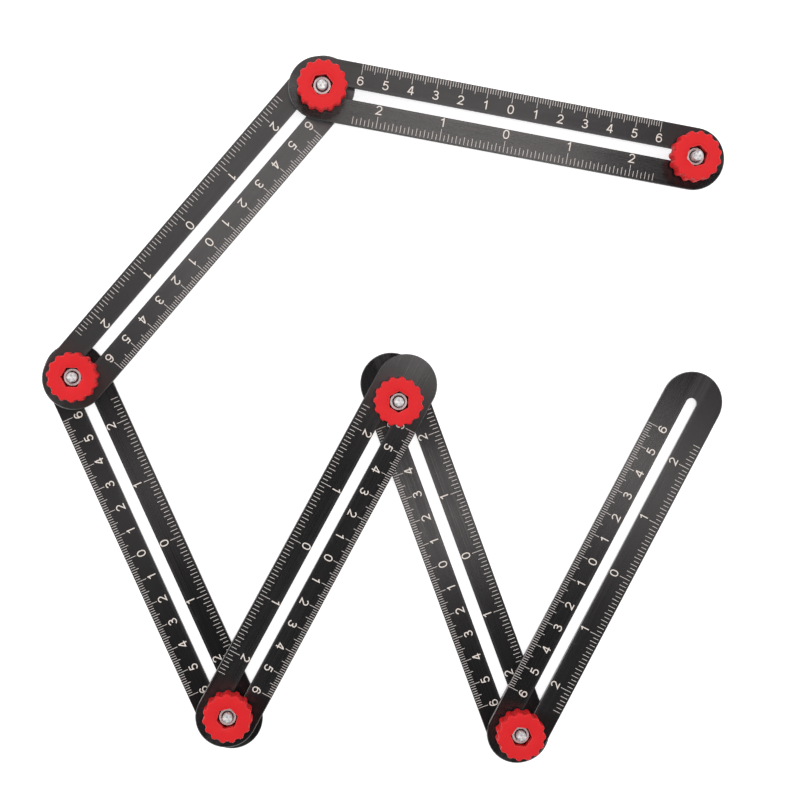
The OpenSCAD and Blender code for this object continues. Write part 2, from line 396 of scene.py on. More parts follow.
def arc(centre, radii, start, end, power=2.0):
    """Points along an ellipse, or along a squarer oval for a power above 2."""
    count = ceil(abs(end - start) / ARC_STEP)
    points = []
    for k in range(count + 1):
        a = radians(start + (end - start) * k / count)
        x = abs(cos(a)) ** (2 / power) * (1 if cos(a) >= 0 else -1)
        y = abs(sin(a)) ** (2 / power) * (1 if sin(a) >= 0 else -1)
        points.append((centre[0] + radii[0] * x, centre[1] + radii[1] * y))
    return points


STROKES = {
    # digit: [(whether the line closes on itself, its points in millimetres)]
    0: [(True, arc((1.25, 1.75), (1.03, 1.56), 0, 360, power=2.3)[:-1])],
    1: [(False, [(1.55, 0.0), (1.55, 3.5)]),
        (False, [(1.62, 3.36), (1.32, 2.98), (0.97, 2.74), (0.52, 2.56)])],
    2: [(False, arc((1.23, 2.37), (0.98, 0.94), 168, -28) + [(0.26, 0.19), (2.42, 0.19)])],
    3: [(False, arc((1.18, 2.595), (0.87, 0.715), 160, -90) + [(0.84, 1.88)]),
        (False, [(0.84, 1.88)] + arc((1.18, 1.035), (1.03, 0.845), 90, -162))],
    4: [(False, [(1.62, 3.34), (0.25, 1.03), (2.48, 1.03)]),
        (False, [(1.79, 0.0), (1.79, 3.5)])],
    5: [(False, [(2.20, 3.31), (0.68, 3.31), (0.45, 1.74)]),
        (False, arc((1.22, 1.18), (1.03, 0.99), 146, -160))],
    6: [(True, arc((1.26, 1.15), (1.03, 0.96), 0, 360)[:-1]),
        (False, arc((1.32, 1.75), (1.08, 1.56), 38, 198))],
}
print("digits drawn from", sum(len(strokes) for strokes in STROKES.values()), "strokes")

# %% [markdown]
# A ribbon's edge at a corner lies on the line that halves the corner's angle. Its
# distance grows as the corner gets sharper, which is what a mitre is.

# %% Give a line its width
def unit(a, b):
    length = sqrt((b[0] - a[0]) ** 2 + (b[1] - a[1]) ** 2)
    return (b[0] - a[0]) / length, (b[1] - a[1]) / length


def ribbon_sides(points, closed, half):
    """Both edges of a ribbon of even width around a line."""
    left, right = [], []
    last = len(points) - 1
    for i, point in enumerate(points):
        before = unit(points[i - 1], point) if (i > 0 or closed) else None
        after = unit(point, points[(i + 1) % len(points)]) if (i < last or closed) else None
        before, after = before or after, after or before
        nx, ny = -(before[1] + after[1]), before[0] + after[0]
        size = nx * nx + ny * ny
        reach = 2 * half / size
        left.append((point[0] + nx * reach, point[1] + ny * reach))
        right.append((point[0] - nx * reach, point[1] - ny * reach))
    return left, right


square_corner = ribbon_sides([(0, 0), (1, 0), (1, 1)], False, HALF_STROKE)
print("a mitre's point lies", round(square_corner[1][1][0] - 1, 3), "mm beyond its corner")

# %% [markdown]
# The marks of a laser have hardly any depth. Each ribbon becomes a closed solid that
# stands a hundredth of a millimetre out of the arm and two hundredths in it, so that
# the two surfaces never lie in one plane.

# %% Give a stroke its depth
MARK_TOP, MARK_FOOT = 0.010 * mm, -0.020 * mm


def as_mesh(shape, name):
    """The mesh of a finished bmesh, which is freed."""
    mesh = bpy.data.meshes.new(name)
    shape.to_mesh(mesh)
    shape.free()
    return mesh


def set_down(name, mesh, place=Matrix()):
    """An object of the scene with this mesh, at its place."""
    thing = bpy.data.objects.new(name, mesh)
    bpy.context.scene.collection.objects.link(thing)
    thing.matrix_world = place
    return thing


def ribbon_solid(name, points, closed):
    """A shallow closed solid along a line, as an object."""
    shape = bmesh.new()
    rings = []
    for left, right in zip(*ribbon_sides(points, closed, HALF_STROKE)):
        section = ((left, MARK_FOOT), (right, MARK_FOOT), (right, MARK_TOP), (left, MARK_TOP))
        rings.append([shape.verts.new((side[0] * mm, side[1] * mm, z)) for side, z in section])
    for one, two in zip(rings, rings[1:] + rings[:1] if closed else rings[1:]):
        for k in range(4):
            shape.faces.new((one[k], one[(k + 1) % 4], two[(k + 1) % 4], two[k]))
    if not closed:
        shape.faces.new(rings[0][::-1])
        shape.faces.new(rings[-1])
    bmesh.ops.recalc_face_normals(shape, faces=shape.faces)
    return set_down(name, as_mesh(shape, name))


print("a mark is", round((MARK_TOP - MARK_FOOT) / mm, 3), "mm thick")

# %% [markdown]
# The strokes of a digit overlap, and left so their tops would lie in one plane and
# their walls inside each other. A boolean union keeps only the outside.

# %% Melt the strokes of each digit together
def drop(thing):
    mesh = thing.data
    bpy.data.objects.remove(thing)
    bpy.data.meshes.remove(mesh)


def digit_mesh(value):
    first, *others = [ribbon_solid(f"stroke_{value}_{k}", points, closed)
                      for k, (closed, points) in enumerate(STROKES[value])]
    for other in others:
        union = first.modifiers.new(other.name, "BOOLEAN")
        union.operation, union.solver, union.object = "UNION", "EXACT", other
    evaluated = first.evaluated_get(bpy.context.evaluated_depsgraph_get())
    mesh = bpy.data.meshes.new_from_object(evaluated)
    mesh.name = f"digit_{value}"
    for solid in [first, *others]:
        drop(solid)
    return mesh


DIGITS = {value: digit_mesh(value) for value in STROKES}
print("faces in each digit:", {value: len(mesh.polygons) for value, mesh in DIGITS.items()})

# %% [markdown]
# ## The scales
# Both scales count outwards from a zero in the middle of the arm: centimetres to 6 on
# one edge, inches to 2 on the other. A mark's length says its rank. All the marks of
# an arm are one thin inlay in the arm's own axes, and the six arms share that mesh.

# %% Lay out the marks of one arm
INCH = 25.4
ARM_WIDTH = 24.6
EDGE = ARM_WIDTH / 2
MILLIMETRES_EACH_WAY, SIXTEENTHS_EACH_WAY = 60, 38
CM_INSET, INCH_INSET = 0.25, 0.80
CM_MARKS = {"one": 2.3, "five": 3.4, "ten": 4.4}
INCH_MARKS = {"sixteenth": 3.05, "eighth": 3.75, "inch": 5.3}
CM_DIGIT_TOP, INCH_DIGIT_TOP = EDGE - 5.05, -EDGE + 9.68
MARK_WIDTH = 0.19
TICKS, NUMBERS = 0, 1


def bar(shape, x, y_from, y_to):
    """One mark: a thin bar across the arm, as a closed box."""
    left, right = x - MARK_WIDTH / 2, x + MARK_WIDTH / 2
    corners = [(left, y_from), (right, y_from), (right, y_to), (left, y_to)]
    low, high = ([shape.verts.new((a * mm, b * mm, z)) for a, b in corners] for z in (MARK_FOOT, MARK_TOP))
    shape.faces.new(high).material_index = TICKS
    shape.faces.new(low[::-1])
    for k in range(4):
        shape.faces.new((low[k], low[(k + 1) % 4], high[(k + 1) % 4], high[k]))


def digit(shape, value, x, top):
    """A digit centred on x, with its head at the given height."""
    before, faces_before = set(shape.verts), set(shape.faces)
    shape.from_mesh(DIGITS[abs(value)])
    for face in shape.faces:
        if face not in faces_before:
            face.material_index = NUMBERS
    fresh = [vertex for vertex in shape.verts if vertex not in before]
    shift = Vector(((x - DIGIT_WIDTH / 2) * mm, (top - DIGIT_HEIGHT) * mm, 0))
    bmesh.ops.translate(shape, verts=fresh, vec=shift)


def scale_mesh():
    shape = bmesh.new()
    for millimetre in range(-MILLIMETRES_EACH_WAY, MILLIMETRES_EACH_WAY + 1):
        rank = "ten" if millimetre % 10 == 0 else "five" if millimetre % 5 == 0 else "one"
        bar(shape, millimetre, EDGE - CM_MARKS[rank], EDGE - CM_INSET)
        if rank == "ten":
            digit(shape, millimetre // 10, millimetre, CM_DIGIT_TOP)
    for sixteenth in range(-SIXTEENTHS_EACH_WAY, SIXTEENTHS_EACH_WAY + 1):
        rank = "inch" if sixteenth % 16 == 0 else "eighth" if sixteenth % 2 == 0 else "sixteenth"
        x = sixteenth * INCH / 16
        bar(shape, x, -EDGE + INCH_INSET, -EDGE + INCH_MARKS[rank])
        if rank == "inch":
            digit(shape, sixteenth // 16, x, INCH_DIGIT_TOP)
    return as_mesh(shape, "scale_marks")


marks_mesh = scale_mesh()
print("one arm's scales have", len(marks_mesh.polygons), "faces")

# %% [markdown]
# ### Their finish
# The marks are burnt through the black layer by a laser, so they show pale, slightly
# warm metal with a dry surface. The laser dwells longer on the wide digits, and they
# are a little lighter and warmer than the hairlines. Both finishes are written once,
# with two pairs of colours, and fine noise keeps the lines from looking printed.

# %% Finish and place the scales
CREAM = {
    "engraved_ticks": ((0.60, 0.56, 0.53, 1), (0.82, 0.78, 0.75, 1)),
    "engraved_digits": ((0.62, 0.565, 0.51, 1), (0.92, 0.865, 0.80, 1)),
}
BURNS_PER_METRE, BURN_DEPTH = 1400.0, 0.01 * mm


def engraved(name):
    material, tree, shader = new_finish(name, {"Roughness": 0.55})
    burns = noise(tree, put(tree, "TexCoord").outputs["Object"], BURNS_PER_METRE, detail=3.0)
    feed(tree, shader, {
        "Base Color": tint(tree, burns, *CREAM[name]),
        "Normal": relief(tree, burns, BURN_DEPTH, strength=0.5),
    })
    return material


for name in CREAM:
    marks_mesh.materials.append(engraved(name))
for arm in SLIDE_ALONG:
    marks = set_down(f"scale_marks_{arm}", marks_mesh, arm_place(arm))
    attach(marks, BODY_OF[arm])
print("scales laid on six arms")

# %% [markdown]
# ## Bright zinc for the hardware
# Bolts, nuts and washers are zinc plated: a light, slightly blue metal that is neither mirror bright nor dull. Its
# passivated skin scatters light, so the shader is only part metallic and the parts stay pale even where they
# mirror something dark. Crystals make small patches of unequal tone and gloss, in every direction alike, so the
# mesh's own coordinates will do. Places that lie close to the next wall, such as the roots of a thread, get a
# painted shade, found by how near that wall stands.

# %% Make the zinc finish
ZINC_DARK, ZINC_LIGHT = (0.42, 0.41, 0.44, 1), (0.98, 0.98, 0.97, 1)
ZINC_METAL = 0.3
# A painted shade for the zinc in narrow places, and how near a wall must stand for it
ZINC_PAINTED_SHADE, ZINC_SHADE_REACH = (0.030, 0.024, 0.028, 1), 1.0 * mm
CRYSTALS_PER_METRE, CRYSTAL_DEPTH = 1800.0, 0.02 * mm
HAZE_PER_METRE = 600.0


def zinc():
    material, tree, shader = new_finish("bright_zinc", {"Metallic": ZINC_METAL})
    at = put(tree, "TexCoord").outputs["Object"]
    crystals = put(tree, "TexVoronoi", {"Vector": at, "Scale": CRYSTALS_PER_METRE}).outputs["Distance"]
    haze = noise(tree, at, HAZE_PER_METRE, detail=5.0, roughness=0.6)
    patchy = spread(tree, haze, 0.0, 1.0, start=0.16, end=0.42)
    plated = tint(tree, patchy, ZINC_DARK, ZINC_LIGHT)
    feed(tree, shader, {
        # Painted shade darkens the zinc where walls stand close
        "Base Color": with_painted_shade(tree, plated, ZINC_SHADE_REACH, ZINC_PAINTED_SHADE),
        "Roughness": number(tree, "ADD", spread(tree, haze, 0.42, 0.56), spread(tree, crystals, 0.0, 0.06)),
        "Normal": relief(tree, crystals, CRYSTAL_DEPTH, strength=0.35),
    })
    return material


bright_zinc = zinc()
for letter in JOINT_LETTERS:
    finish_piece(frame["nodes"][f"washer_{letter}"], bright_zinc)
print("six washers plated")

# %% [markdown]
# ## Round shapes as rings of points
# Bolts, nuts and knobs are round, but their outline changes with height: square at the
# bolt's neck, lobed at the knob's rim, hexagonal in its pocket. Such a shape is a stack
# of rings with the same number of points. Each ring gives a radius for every direction,
# and faces join one ring to the next. `skin` does this once for all three.

# %% Join rings into a skin
def skin(name, rings, columns, closed_loop):
    """Faces between rings of (radius, height) functions of the direction in degrees."""
    shape = bmesh.new()
    loops = []
    for ring in rings:
        loop = []
        for k in range(columns):
            a = 360 * k / columns
            r, z = ring(a)
            loop.append(shape.verts.new((r * mm * cos(radians(a)), r * mm * sin(radians(a)), z * mm)))
        loops.append(loop)
    pairs = list(zip(loops, loops[1:]))
    if closed_loop:
        pairs.append((loops[-1], loops[0]))
    else:
        shape.faces.new(loops[0][::-1])
        shape.faces.new(loops[-1])
    for lower, upper in pairs:
        for k in range(columns):
            n = (k + 1) % columns
            shape.faces.new((lower[k], lower[n], upper[n], upper[k]))
    bmesh.ops.recalc_face_normals(shape, faces=shape.faces)
    return as_mesh(shape, name)


def soften(mesh, sharp_above):
    """Smooth shading, with a crisp line where faces meet at more than the angle."""
    mesh.polygons.foreach_set("use_smooth", [True] * len(mesh.polygons))
    mesh.set_sharp_from_angle(angle=radians(sharp_above))


def circles(points):
    """Plain round rings, from (radius, height) points."""
    return [lambda a, r=r, z=z: (r, z) for r, z in points]


def quarter_turn(centre_r, centre_z, radius, start, end, steps):
    """Points (r, z) along an arc of a section, from one angle to another."""
    angles = [radians(start + (end - start) * k / steps) for k in range(steps + 1)]
    return [(centre_r + radius * cos(a), centre_z + radius * sin(a)) for a in angles]


print("a quarter turn ends at", [round(x, 2) for x in quarter_turn(0, 0, 1, 0, 90, 4)[-1]])

# %% [markdown]
# ## The bolts
# Under the arms lies a low head. Above it a square neck fits the slot, so the bolt
# can't turn while its knob is tightened. The CAD shank is smooth, and this one gets its
# M4 thread: the ring's radius follows the distance to the nearest crest, and that
# distance depends on height and direction together, which makes the helix.

# %% Shape the neck and the thread
HEAD_RADIUS, HEAD_THICK, HEAD_ROUND = 5.0, 2.0, 1.2
HEAD_UNDERSIDE = (0.6, 2.2)
NECK_HALF, NECK_CORNER, NECK_HEIGHT = 2.05, 0.85, 1.6
NECK_TOP = HEAD_THICK + NECK_HEIGHT
BROKEN_EDGE, NECK_BEVEL = 0.12, 0.1
SHANK_RADIUS, THREAD_DEPTH, PITCH = 1.95, 0.40, 0.7
# Shares of half a pitch that are crest and flank, and how much of the flank is rounded
CREST, FLANK, ROUNDED = 0.16, 0.68, 0.35
BOLT_LENGTH, TIP_BEVEL, TIP_MIDDLE = 15.3, 0.12, 0.5
BOLT_COLUMNS, RINGS_PER_TURN = 72, 10


def neck_radius(a):
    """Out to the side of a square whose corners are cut off."""
    x, y = abs(cos(radians(a))), abs(sin(radians(a)))
    to_side = NECK_HALF / max(x, y)
    to_corner = (2 * NECK_HALF - NECK_CORNER) / (x + y)
    return min(to_side, to_corner)


def thread_radius(a, z):
    """Crest, flank and root of the thread at one height and direction."""
    share = (z / PITCH - a / 360) % 1.0
    from_crest = min(share, 1 - share) * 2
    depth = min(max((from_crest - CREST) / FLANK, 0.0), 1.0)
    fillet = depth * depth * (3 - 2 * depth)
    return SHANK_RADIUS - THREAD_DEPTH * (ROUNDED * fillet + (1 - ROUNDED) * depth)


def tip_limit(z):
    """The radius that the bevel at the bolt's end leaves."""
    return SHANK_RADIUS - max(0.0, z - (BOLT_LENGTH - TIP_BEVEL))


print("neck", round(neck_radius(0), 2), "mm to a side,", round(neck_radius(45), 2), "mm to a corner")

# %% [markdown]
# The rings run from the middle of the head's flat underside round its rim, up the neck
# and along the thread. The thread's heights are counted back from the tip, ten to a
# turn, so the last one lies exactly at the end.

# %% Build one bolt
def bolt_rings():
    underside = [(r, 0.0) for r in HEAD_UNDERSIDE]
    rim = quarter_turn(HEAD_RADIUS - HEAD_ROUND, HEAD_ROUND, HEAD_ROUND, -90, 0, steps=8)
    crown = [(HEAD_RADIUS, HEAD_THICK - BROKEN_EDGE), (HEAD_RADIUS - BROKEN_EDGE, HEAD_THICK)]
    neck = [(BROKEN_EDGE, HEAD_THICK), (0.0, HEAD_THICK + BROKEN_EDGE),
            (0.0, NECK_TOP - NECK_BEVEL), (-NECK_BEVEL, NECK_TOP)]
    step = PITCH / RINGS_PER_TURN
    count = floor((BOLT_LENGTH - NECK_TOP) / step)
    thread = [BOLT_LENGTH - (count - k) * step for k in range(count + 1)]
    end = [(SHANK_RADIUS - TIP_BEVEL - BROKEN_EDGE, BOLT_LENGTH), (TIP_MIDDLE, BOLT_LENGTH)]
    rings = circles(underside + rim + crown)
    rings += [lambda a, grow=grow, z=z: (neck_radius(a) + grow, z) for grow, z in neck]
    rings += [lambda a, z=z: (min(thread_radius(a, z), tip_limit(z)), z) for z in thread]
    return rings + circles(end)


bolt_mesh = skin("threaded_bolt", bolt_rings(), BOLT_COLUMNS, closed_loop=False)
soften(bolt_mesh, sharp_above=40)
thread_turns = (BOLT_LENGTH - NECK_TOP) / PITCH
print("a bolt has", len(bolt_mesh.polygons), "faces and", round(thread_turns), "turns of thread")

# %% [markdown]
# The end of a bolt is cut on a lathe, which leaves rings round the centre. They are
# relief on the same zinc, driven by the distance from the bolt's own axis.

# %% Finish and place the bolts
LATHE_STEP, LATHE_DEPTH = 0.28 * mm, 0.006 * mm
# Haze of the bolt's plating, and how near a wall must stand for its painted shade
BOLT_HAZE_PER_METRE, THREAD_REACH = 900.0, 0.9 * mm


def turned_zinc():
    material, tree, shader = new_finish("turned_zinc", {"Metallic": ZINC_METAL})
    at = put(tree, "TexCoord").outputs["Object"]
    level = vector(tree, "MULTIPLY", at, (1.0, 1.0, 0.0))
    out = put(tree, "VectorMath", {0: level}, operation="LENGTH").outputs["Value"]
    wave = number(tree, "SINE", number(tree, "MULTIPLY", out, 2 * pi / LATHE_STEP))
    haze = noise(tree, at, BOLT_HAZE_PER_METRE, detail=4.0, roughness=0.6)
    patchy = spread(tree, haze, 0.0, 1.0, start=0.34, end=0.62)
    plated = tint(tree, patchy, ZINC_DARK, ZINC_LIGHT)
    feed(tree, shader, {
        # Painted shade darkens the bolt in the roots of its thread
        "Base Color": with_painted_shade(tree, plated, THREAD_REACH, ZINC_PAINTED_SHADE),
        "Roughness": spread(tree, haze, 0.40, 0.58),
        "Normal": relief(tree, wave, LATHE_DEPTH, strength=0.5),
    })
    return material


bolt_mesh.materials.append(turned_zinc())
LOWER_ARM = {"a": "arm_2", "b": "arm_3", "c": "arm_3", "d": "arm_5", "e": "arm_5", "f": "arm_1"}
for letter in JOINT_LETTERS:
    along_arm = degrees(heading(LOWER_ARM[letter]))
    bolt = set_down(f"threaded_bolt_{letter}", bolt_mesh, joint_place(letter, "bolt", along_arm))
    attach(bolt, BODY_OF[f"bolt_{letter}"])
    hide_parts(f"bolt_{letter}")
print("six bolts placed, square necks along their lower arms")

# %% [markdown]
# ## The nuts
# Seen from above, a hexagon nut is a bright ring. Its corners are turned away by a cone
# on the outside, and a wide cone leads the bolt into the thread on the inside, so only
# the land between both cones faces the camera. The rings of `skin` take a hexagon as
# readily as a circle: each radius is the smaller of the hexagon's and the cone's.

# %% Build one nut
NUT_HALF, NUT_TURN, LAND_RADIUS = 3.5, 6.0, 3.30
UPPER_SLOPE, LOWER_SLOPE, CONE_STEPS = 1.9, 0.58, 7
NUT_BORE, SINK_RADIUS, SINK_DEPTH = 2.02, 2.62, 1.10
SINK_LIP, SINK_LIP_DEPTH = 0.05, 0.04
NUT_COLUMNS = 144


def hexagon(a, half, turn):
    """Distance from the middle of a hexagon to its side, in one direction."""
    off = (a - turn) % 60 - 30
    return half / cos(radians(off))


def nut_rings(height):
    corner_cut = 2 * NUT_HALF / sqrt(3) - LAND_RADIUS

    def cone(share, z):
        limit = LAND_RADIUS + share * corner_cut
        return lambda a: (min(hexagon(a, NUT_HALF, NUT_TURN), limit), z)
    shares = [k / CONE_STEPS for k in range(CONE_STEPS + 1)]
    lower = [cone(share, share * corner_cut * LOWER_SLOPE) for share in shares]
    upper = [cone(share, height - share * corner_cut * UPPER_SLOPE) for share in reversed(shares)]
    bore = [(SINK_RADIUS, height), (SINK_RADIUS - SINK_LIP, height - SINK_LIP_DEPTH),
            (NUT_BORE, height - SINK_DEPTH), (NUT_BORE, SINK_DEPTH), (SINK_RADIUS, 0.0)]
    return lower + upper + circles(bore)


nut_low, nut_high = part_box("nut_a")
nut_height = (nut_high.z - nut_low.z) / mm
nut_mesh = skin("seated_nut", nut_rings(nut_height), NUT_COLUMNS, closed_loop=True)
soften(nut_mesh, sharp_above=30)
nut_mesh.materials.append(bright_zinc)
print("a nut", round(nut_height, 2), "mm high has", len(nut_mesh.polygons), "faces")

# %% [markdown]
# A nut turns with its knob. Every knob stopped where it was tight, and those turns are
# read from the picture: fifteen lobes repeat every 24 degrees, six pocket sides every
# 60. The mesh is turned and not the object, because the box of a turned object is
# larger than the shape in it.

# %% Seat the nuts in their pockets
KNOB_TURNS = {"a": 30, "b": 80, "c": 94, "d": 109, "e": 75, "f": 36}


def turned_copy(mesh, turn):
    copy = mesh.copy()
    copy.transform(Matrix.Rotation(radians(turn), 4, "Z"))
    return copy


for letter, turn in KNOB_TURNS.items():
    nut = set_down(f"seated_nut_{letter}", turned_copy(nut_mesh, turn), joint_place(letter, "nut"))
    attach(nut, BODY_OF[f"nut_{letter}"])
    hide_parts(f"nut_{letter}")
print("six nuts seated")

# %% [markdown]
# ## The thumb knobs
# Each knob is one red moulding: a boss below, fifteen round lobes for the fingers, a broad top, and a hexagonal
# pocket that holds the nut. A mould has no sharp edges. So the lobed outline and the rounded shoulder aren't just
# cut with each other: the shoulder's rings follow the lobed outline inwards, and the lobes die away softly into
# the top. A smooth minimum rounds the valleys between the lobes and the corners of the pocket.

# %% Outlines of rim and pocket
KNOB_RADIUS, LOBES, LOBE_RADIUS, CORE_RADIUS = 9.8, 15, 1.3, 9.0
RIM_FOOT, RIM_ROUND, KNOB_HEIGHT = 0.4, 0.8, 8.6
POCKET_HALF, POCKET_TURN = 3.7, 6.0
VALLEY_BLEND, CORNER_BLEND, LOBE_FADE = 0.45, 0.12, 0.35


def smooth_min(a, b, blend):
    """The smaller of two values, with the crossing rounded off over the blend."""
    h = max(blend - abs(a - b), 0) / blend
    return min(a, b) - h * h * blend / 4


def lobed(a):
    """The fingered outline: the larger of a core circle and a lobe, with a filled valley."""
    step = 360 / LOBES
    off = radians((a + step / 2) % step - step / 2)
    centre = KNOB_RADIUS - LOBE_RADIUS
    under = LOBE_RADIUS ** 2 - (centre * sin(off)) ** 2
    lobe = centre * cos(off) + sqrt(under) if under > 0 else 0.0
    return -smooth_min(-lobe, -CORE_RADIUS, VALLEY_BLEND)


def softened(r, inset):
    """The further a ring lies inside the rim, the less it swings between lobe and valley."""
    middle_radius = (KNOB_RADIUS + CORE_RADIUS) / 2 - inset
    return middle_radius + (r - middle_radius) * (1 - LOBE_FADE * inset / RIM_ROUND)


def pocket(a):
    """The hexagon of the pocket, its corners rounded as a mould's are."""
    off = (a - POCKET_TURN + 30) % 60 - 30
    side = POCKET_HALF / cos(radians(off - 30 if off >= 0 else off + 30))
    other = POCKET_HALF / cos(radians(off + 30 if off >= 0 else off - 30))
    return smooth_min(side, other, CORNER_BLEND)


print("lobe", lobed(0), "mm, valley", round(lobed(180 / LOBES), 2), "mm from the axis")
print("pocket corner", round(pocket(POCKET_TURN), 2), "mm from the axis")

# %% [markdown]
# The rings run once round the section of the knob: out along the foot of the boss, up
# the lobes, over the shoulder, across the top, down into the pocket and back through
# the bore. The last ring joins the first, so the skin has no open edge.

# %% Build one knob
BOSS_RADIUS, BOSS_HEIGHT, BOSS_BEVEL, BOSS_FILLET = 6.5, 1.0, 0.2, 0.1
BORE_RADIUS, BORE_BEVEL, POCKET_FLOOR = 2.15, 0.15, 2.0
WALL_HEIGHTS = (2.6, 4.2, 5.6)
TOP_MARGIN = 1.9
MOUTH_RADIUS, MOUTH_DEPTH = 4.8, 0.25
# Rings of two rounded edges: how far out they stand, and how far down they lie from the
# knob's top or from the floor of its mouth
MOUTH_EDGE = ((0.25, 0.0), (0.05, 0.05), (-0.20, 0.20), (-0.40, MOUTH_DEPTH))
POCKET_EDGE = ((0.12, 0.0), (0.05, 0.04), (0.01, 0.12), (0.0, 0.25))
COLUMNS_PER_LOBE = 16


def knob_rings():
    boss = [(BORE_RADIUS, BORE_BEVEL), (BORE_RADIUS + BORE_BEVEL, 0.0),
            (BOSS_RADIUS - BOSS_BEVEL, 0.0), (BOSS_RADIUS, BOSS_BEVEL),
            (BOSS_RADIUS, BOSS_HEIGHT - BOSS_FILLET), (BOSS_RADIUS + BOSS_FILLET, BOSS_HEIGHT)]
    foot = quarter_turn(KNOB_RADIUS - RIM_FOOT, BOSS_HEIGHT + RIM_FOOT, RIM_FOOT, -90, 0, steps=5)
    shoulder = quarter_turn(0, KNOB_HEIGHT - RIM_ROUND, RIM_ROUND, 0, 90, steps=10)
    top = [(KNOB_RADIUS - RIM_ROUND - TOP_MARGIN, KNOB_HEIGHT)]
    mouth = [(MOUTH_RADIUS + out, KNOB_HEIGHT - down) for out, down in MOUTH_EDGE]
    walls = [(out, KNOB_HEIGHT - MOUTH_DEPTH - down) for out, down in POCKET_EDGE]
    walls.append((0.0, POCKET_FLOOR))

    rings = circles(boss)
    rings += [lambda a, r=r, z=z: (min(lobed(a) - KNOB_RADIUS + r, lobed(a)), z) for r, z in foot]
    rings += [lambda a, z=z: (lobed(a), z) for z in WALL_HEIGHTS]
    for out, z in shoulder:
        rings.append(lambda a, inset=RIM_ROUND - out, z=z: (softened(lobed(a) - inset, inset), z))
    rings += circles(top + mouth)
    rings += [lambda a, out=out, z=z: (pocket(a) + out, z) for out, z in walls]
    return rings + circles([(BORE_RADIUS, POCKET_FLOOR)])


knob_mesh = skin("thumb_knob", knob_rings(), LOBES * COLUMNS_PER_LOBE, closed_loop=True)
soften(knob_mesh, sharp_above=32)
print("a knob has", len(knob_mesh.polygons), "faces")

# %% [markdown]
# ### Red moulded plastic
# The plastic is a strong red with a soft gloss. Light enters it a little, which subsurface scattering gives. Its
# surface carries the faint grain of the mould, and its outer edges get a painted highlight, paler than the rest.
# In the valleys between the lobes and in the pocket, light bounces from red to red and the colour deepens. A path
# tracer gives part of that by itself, and a painted shade adds the rest. The object's own random number shifts the
# clouds, so that no two knobs have the same ones.

# %% Finish and place the knobs
RED_DEEP, RED_LIGHT = (0.67, 0.009, 0.013, 1), (0.77, 0.015, 0.021, 1)
# A painted highlight for the knob's edges, and a painted shade for its valleys and pocket
RED_EDGE_HIGHLIGHT, RED_SHADE = (0.90, 0.24, 0.23, 1), (0.36, 0.0006, 0.002, 1)
RED_CONSTANTS = {
    "Subsurface Weight": 0.08,
    "Subsurface Scale": 0.6 * mm,
    "Subsurface Radius": (1.0, 0.25, 0.2),
    "Specular IOR Level": 0.22,
}
RED_CLOUDS_PER_METRE = 180.0
GRAINS_PER_METRE, GRAIN_DEPTH = 2600.0, 0.008 * mm
KNOB_EDGE, VALLEY_REACH = 0.35 * mm, 1.6 * mm


def red_plastic():
    material, tree, shader = new_finish("red_moulding", RED_CONSTANTS)
    at = put(tree, "TexCoord").outputs["Object"]
    own_seed = put(tree, "ObjectInfo").outputs["Random"]
    shifted = vector(tree, "ADD", at, own_seed)
    clouds = noise(tree, shifted, RED_CLOUDS_PER_METRE, detail=3.0)
    grain = noise(tree, shifted, GRAINS_PER_METRE, detail=4.0)
    body = tint(tree, clouds, RED_DEEP, RED_LIGHT)
    # A painted highlight on the knob's outer edges
    edges = edge_mask(tree, KNOB_EDGE, start=0.998, full=0.93, most=0.5)
    paled = tint(tree, edges, body, RED_EDGE_HIGHLIGHT)
    feed(tree, shader, {
        # A painted shade in the valleys and the pocket
        "Base Color": with_painted_shade(tree, paled, VALLEY_REACH, RED_SHADE),
        "Roughness": spread(tree, clouds, 0.44, 0.56),
        "Normal": relief(tree, grain, GRAIN_DEPTH, strength=0.4),
    })
    return material


knob_mesh.materials.append(red_plastic())
for letter, turn in KNOB_TURNS.items():
    knob = set_down(f"moulded_knob_{letter}", turned_copy(knob_mesh, turn), joint_place(letter, "knob"))
    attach(knob, BODY_OF[f"knob_{letter}"])
    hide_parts(f"knob_{letter}")
print("six knobs placed")

# %% [markdown]
# ## Studio: a white floor
# The picture has a pure white ground. White can't be reached by more light, which would
# wash out the ruler. The floor therefore adds a little light of its own, but only to
# what a camera, a reflection or a glass sees directly, and its shadows stay.

# %% Lay the floor
FLOOR_SIDE = 6.0
FLOOR_GLOW = 0.68
WHITE, FLOOR_PAINT = (1.0, 1.0, 1.0, 1), (0.80, 0.80, 0.80, 1)


def seen_directly(tree):
    """1 for rays from the camera, from a reflection or through glass, and 0 for others."""
    path = put(tree, "LightPath").outputs
    first = number(tree, "MAXIMUM", path["Is Camera Ray"], path["Is Glossy Ray"])
    return number(tree, "MAXIMUM", first, path["Is Transmission Ray"])


def floor_finish():
    material = bpy.data.materials.new("white_floor")
    material.use_nodes = True
    tree = material.node_tree
    tree.nodes.remove(tree.nodes["Principled BSDF"])
    matt = put(tree, "BsdfDiffuse", {"Color": FLOOR_PAINT}).outputs["BSDF"]
    strength = number(tree, "MULTIPLY", seen_directly(tree), FLOOR_GLOW)
    glow = put(tree, "Emission", {"Color": WHITE, "Strength": strength}).outputs["Emission"]
    both = put(tree, "AddShader", {0: matt, 1: glow}).outputs["Shader"]
    feed(tree, tree.nodes["Material Output"], {"Surface": both})
    return material


floor_mesh = bpy.data.meshes.new("floor")
half = FLOOR_SIDE / 2
corners = [(-half, -half, 0), (half, -half, 0), (half, half, 0), (-half, half, 0)]
floor_mesh.from_pydata(corners, [], [(0, 1, 2, 3)])
floor_mesh.materials.append(floor_finish())
studio_floor = set_down("studio_floor", floor_mesh)
print("floor", FLOOR_SIDE, "m wide")

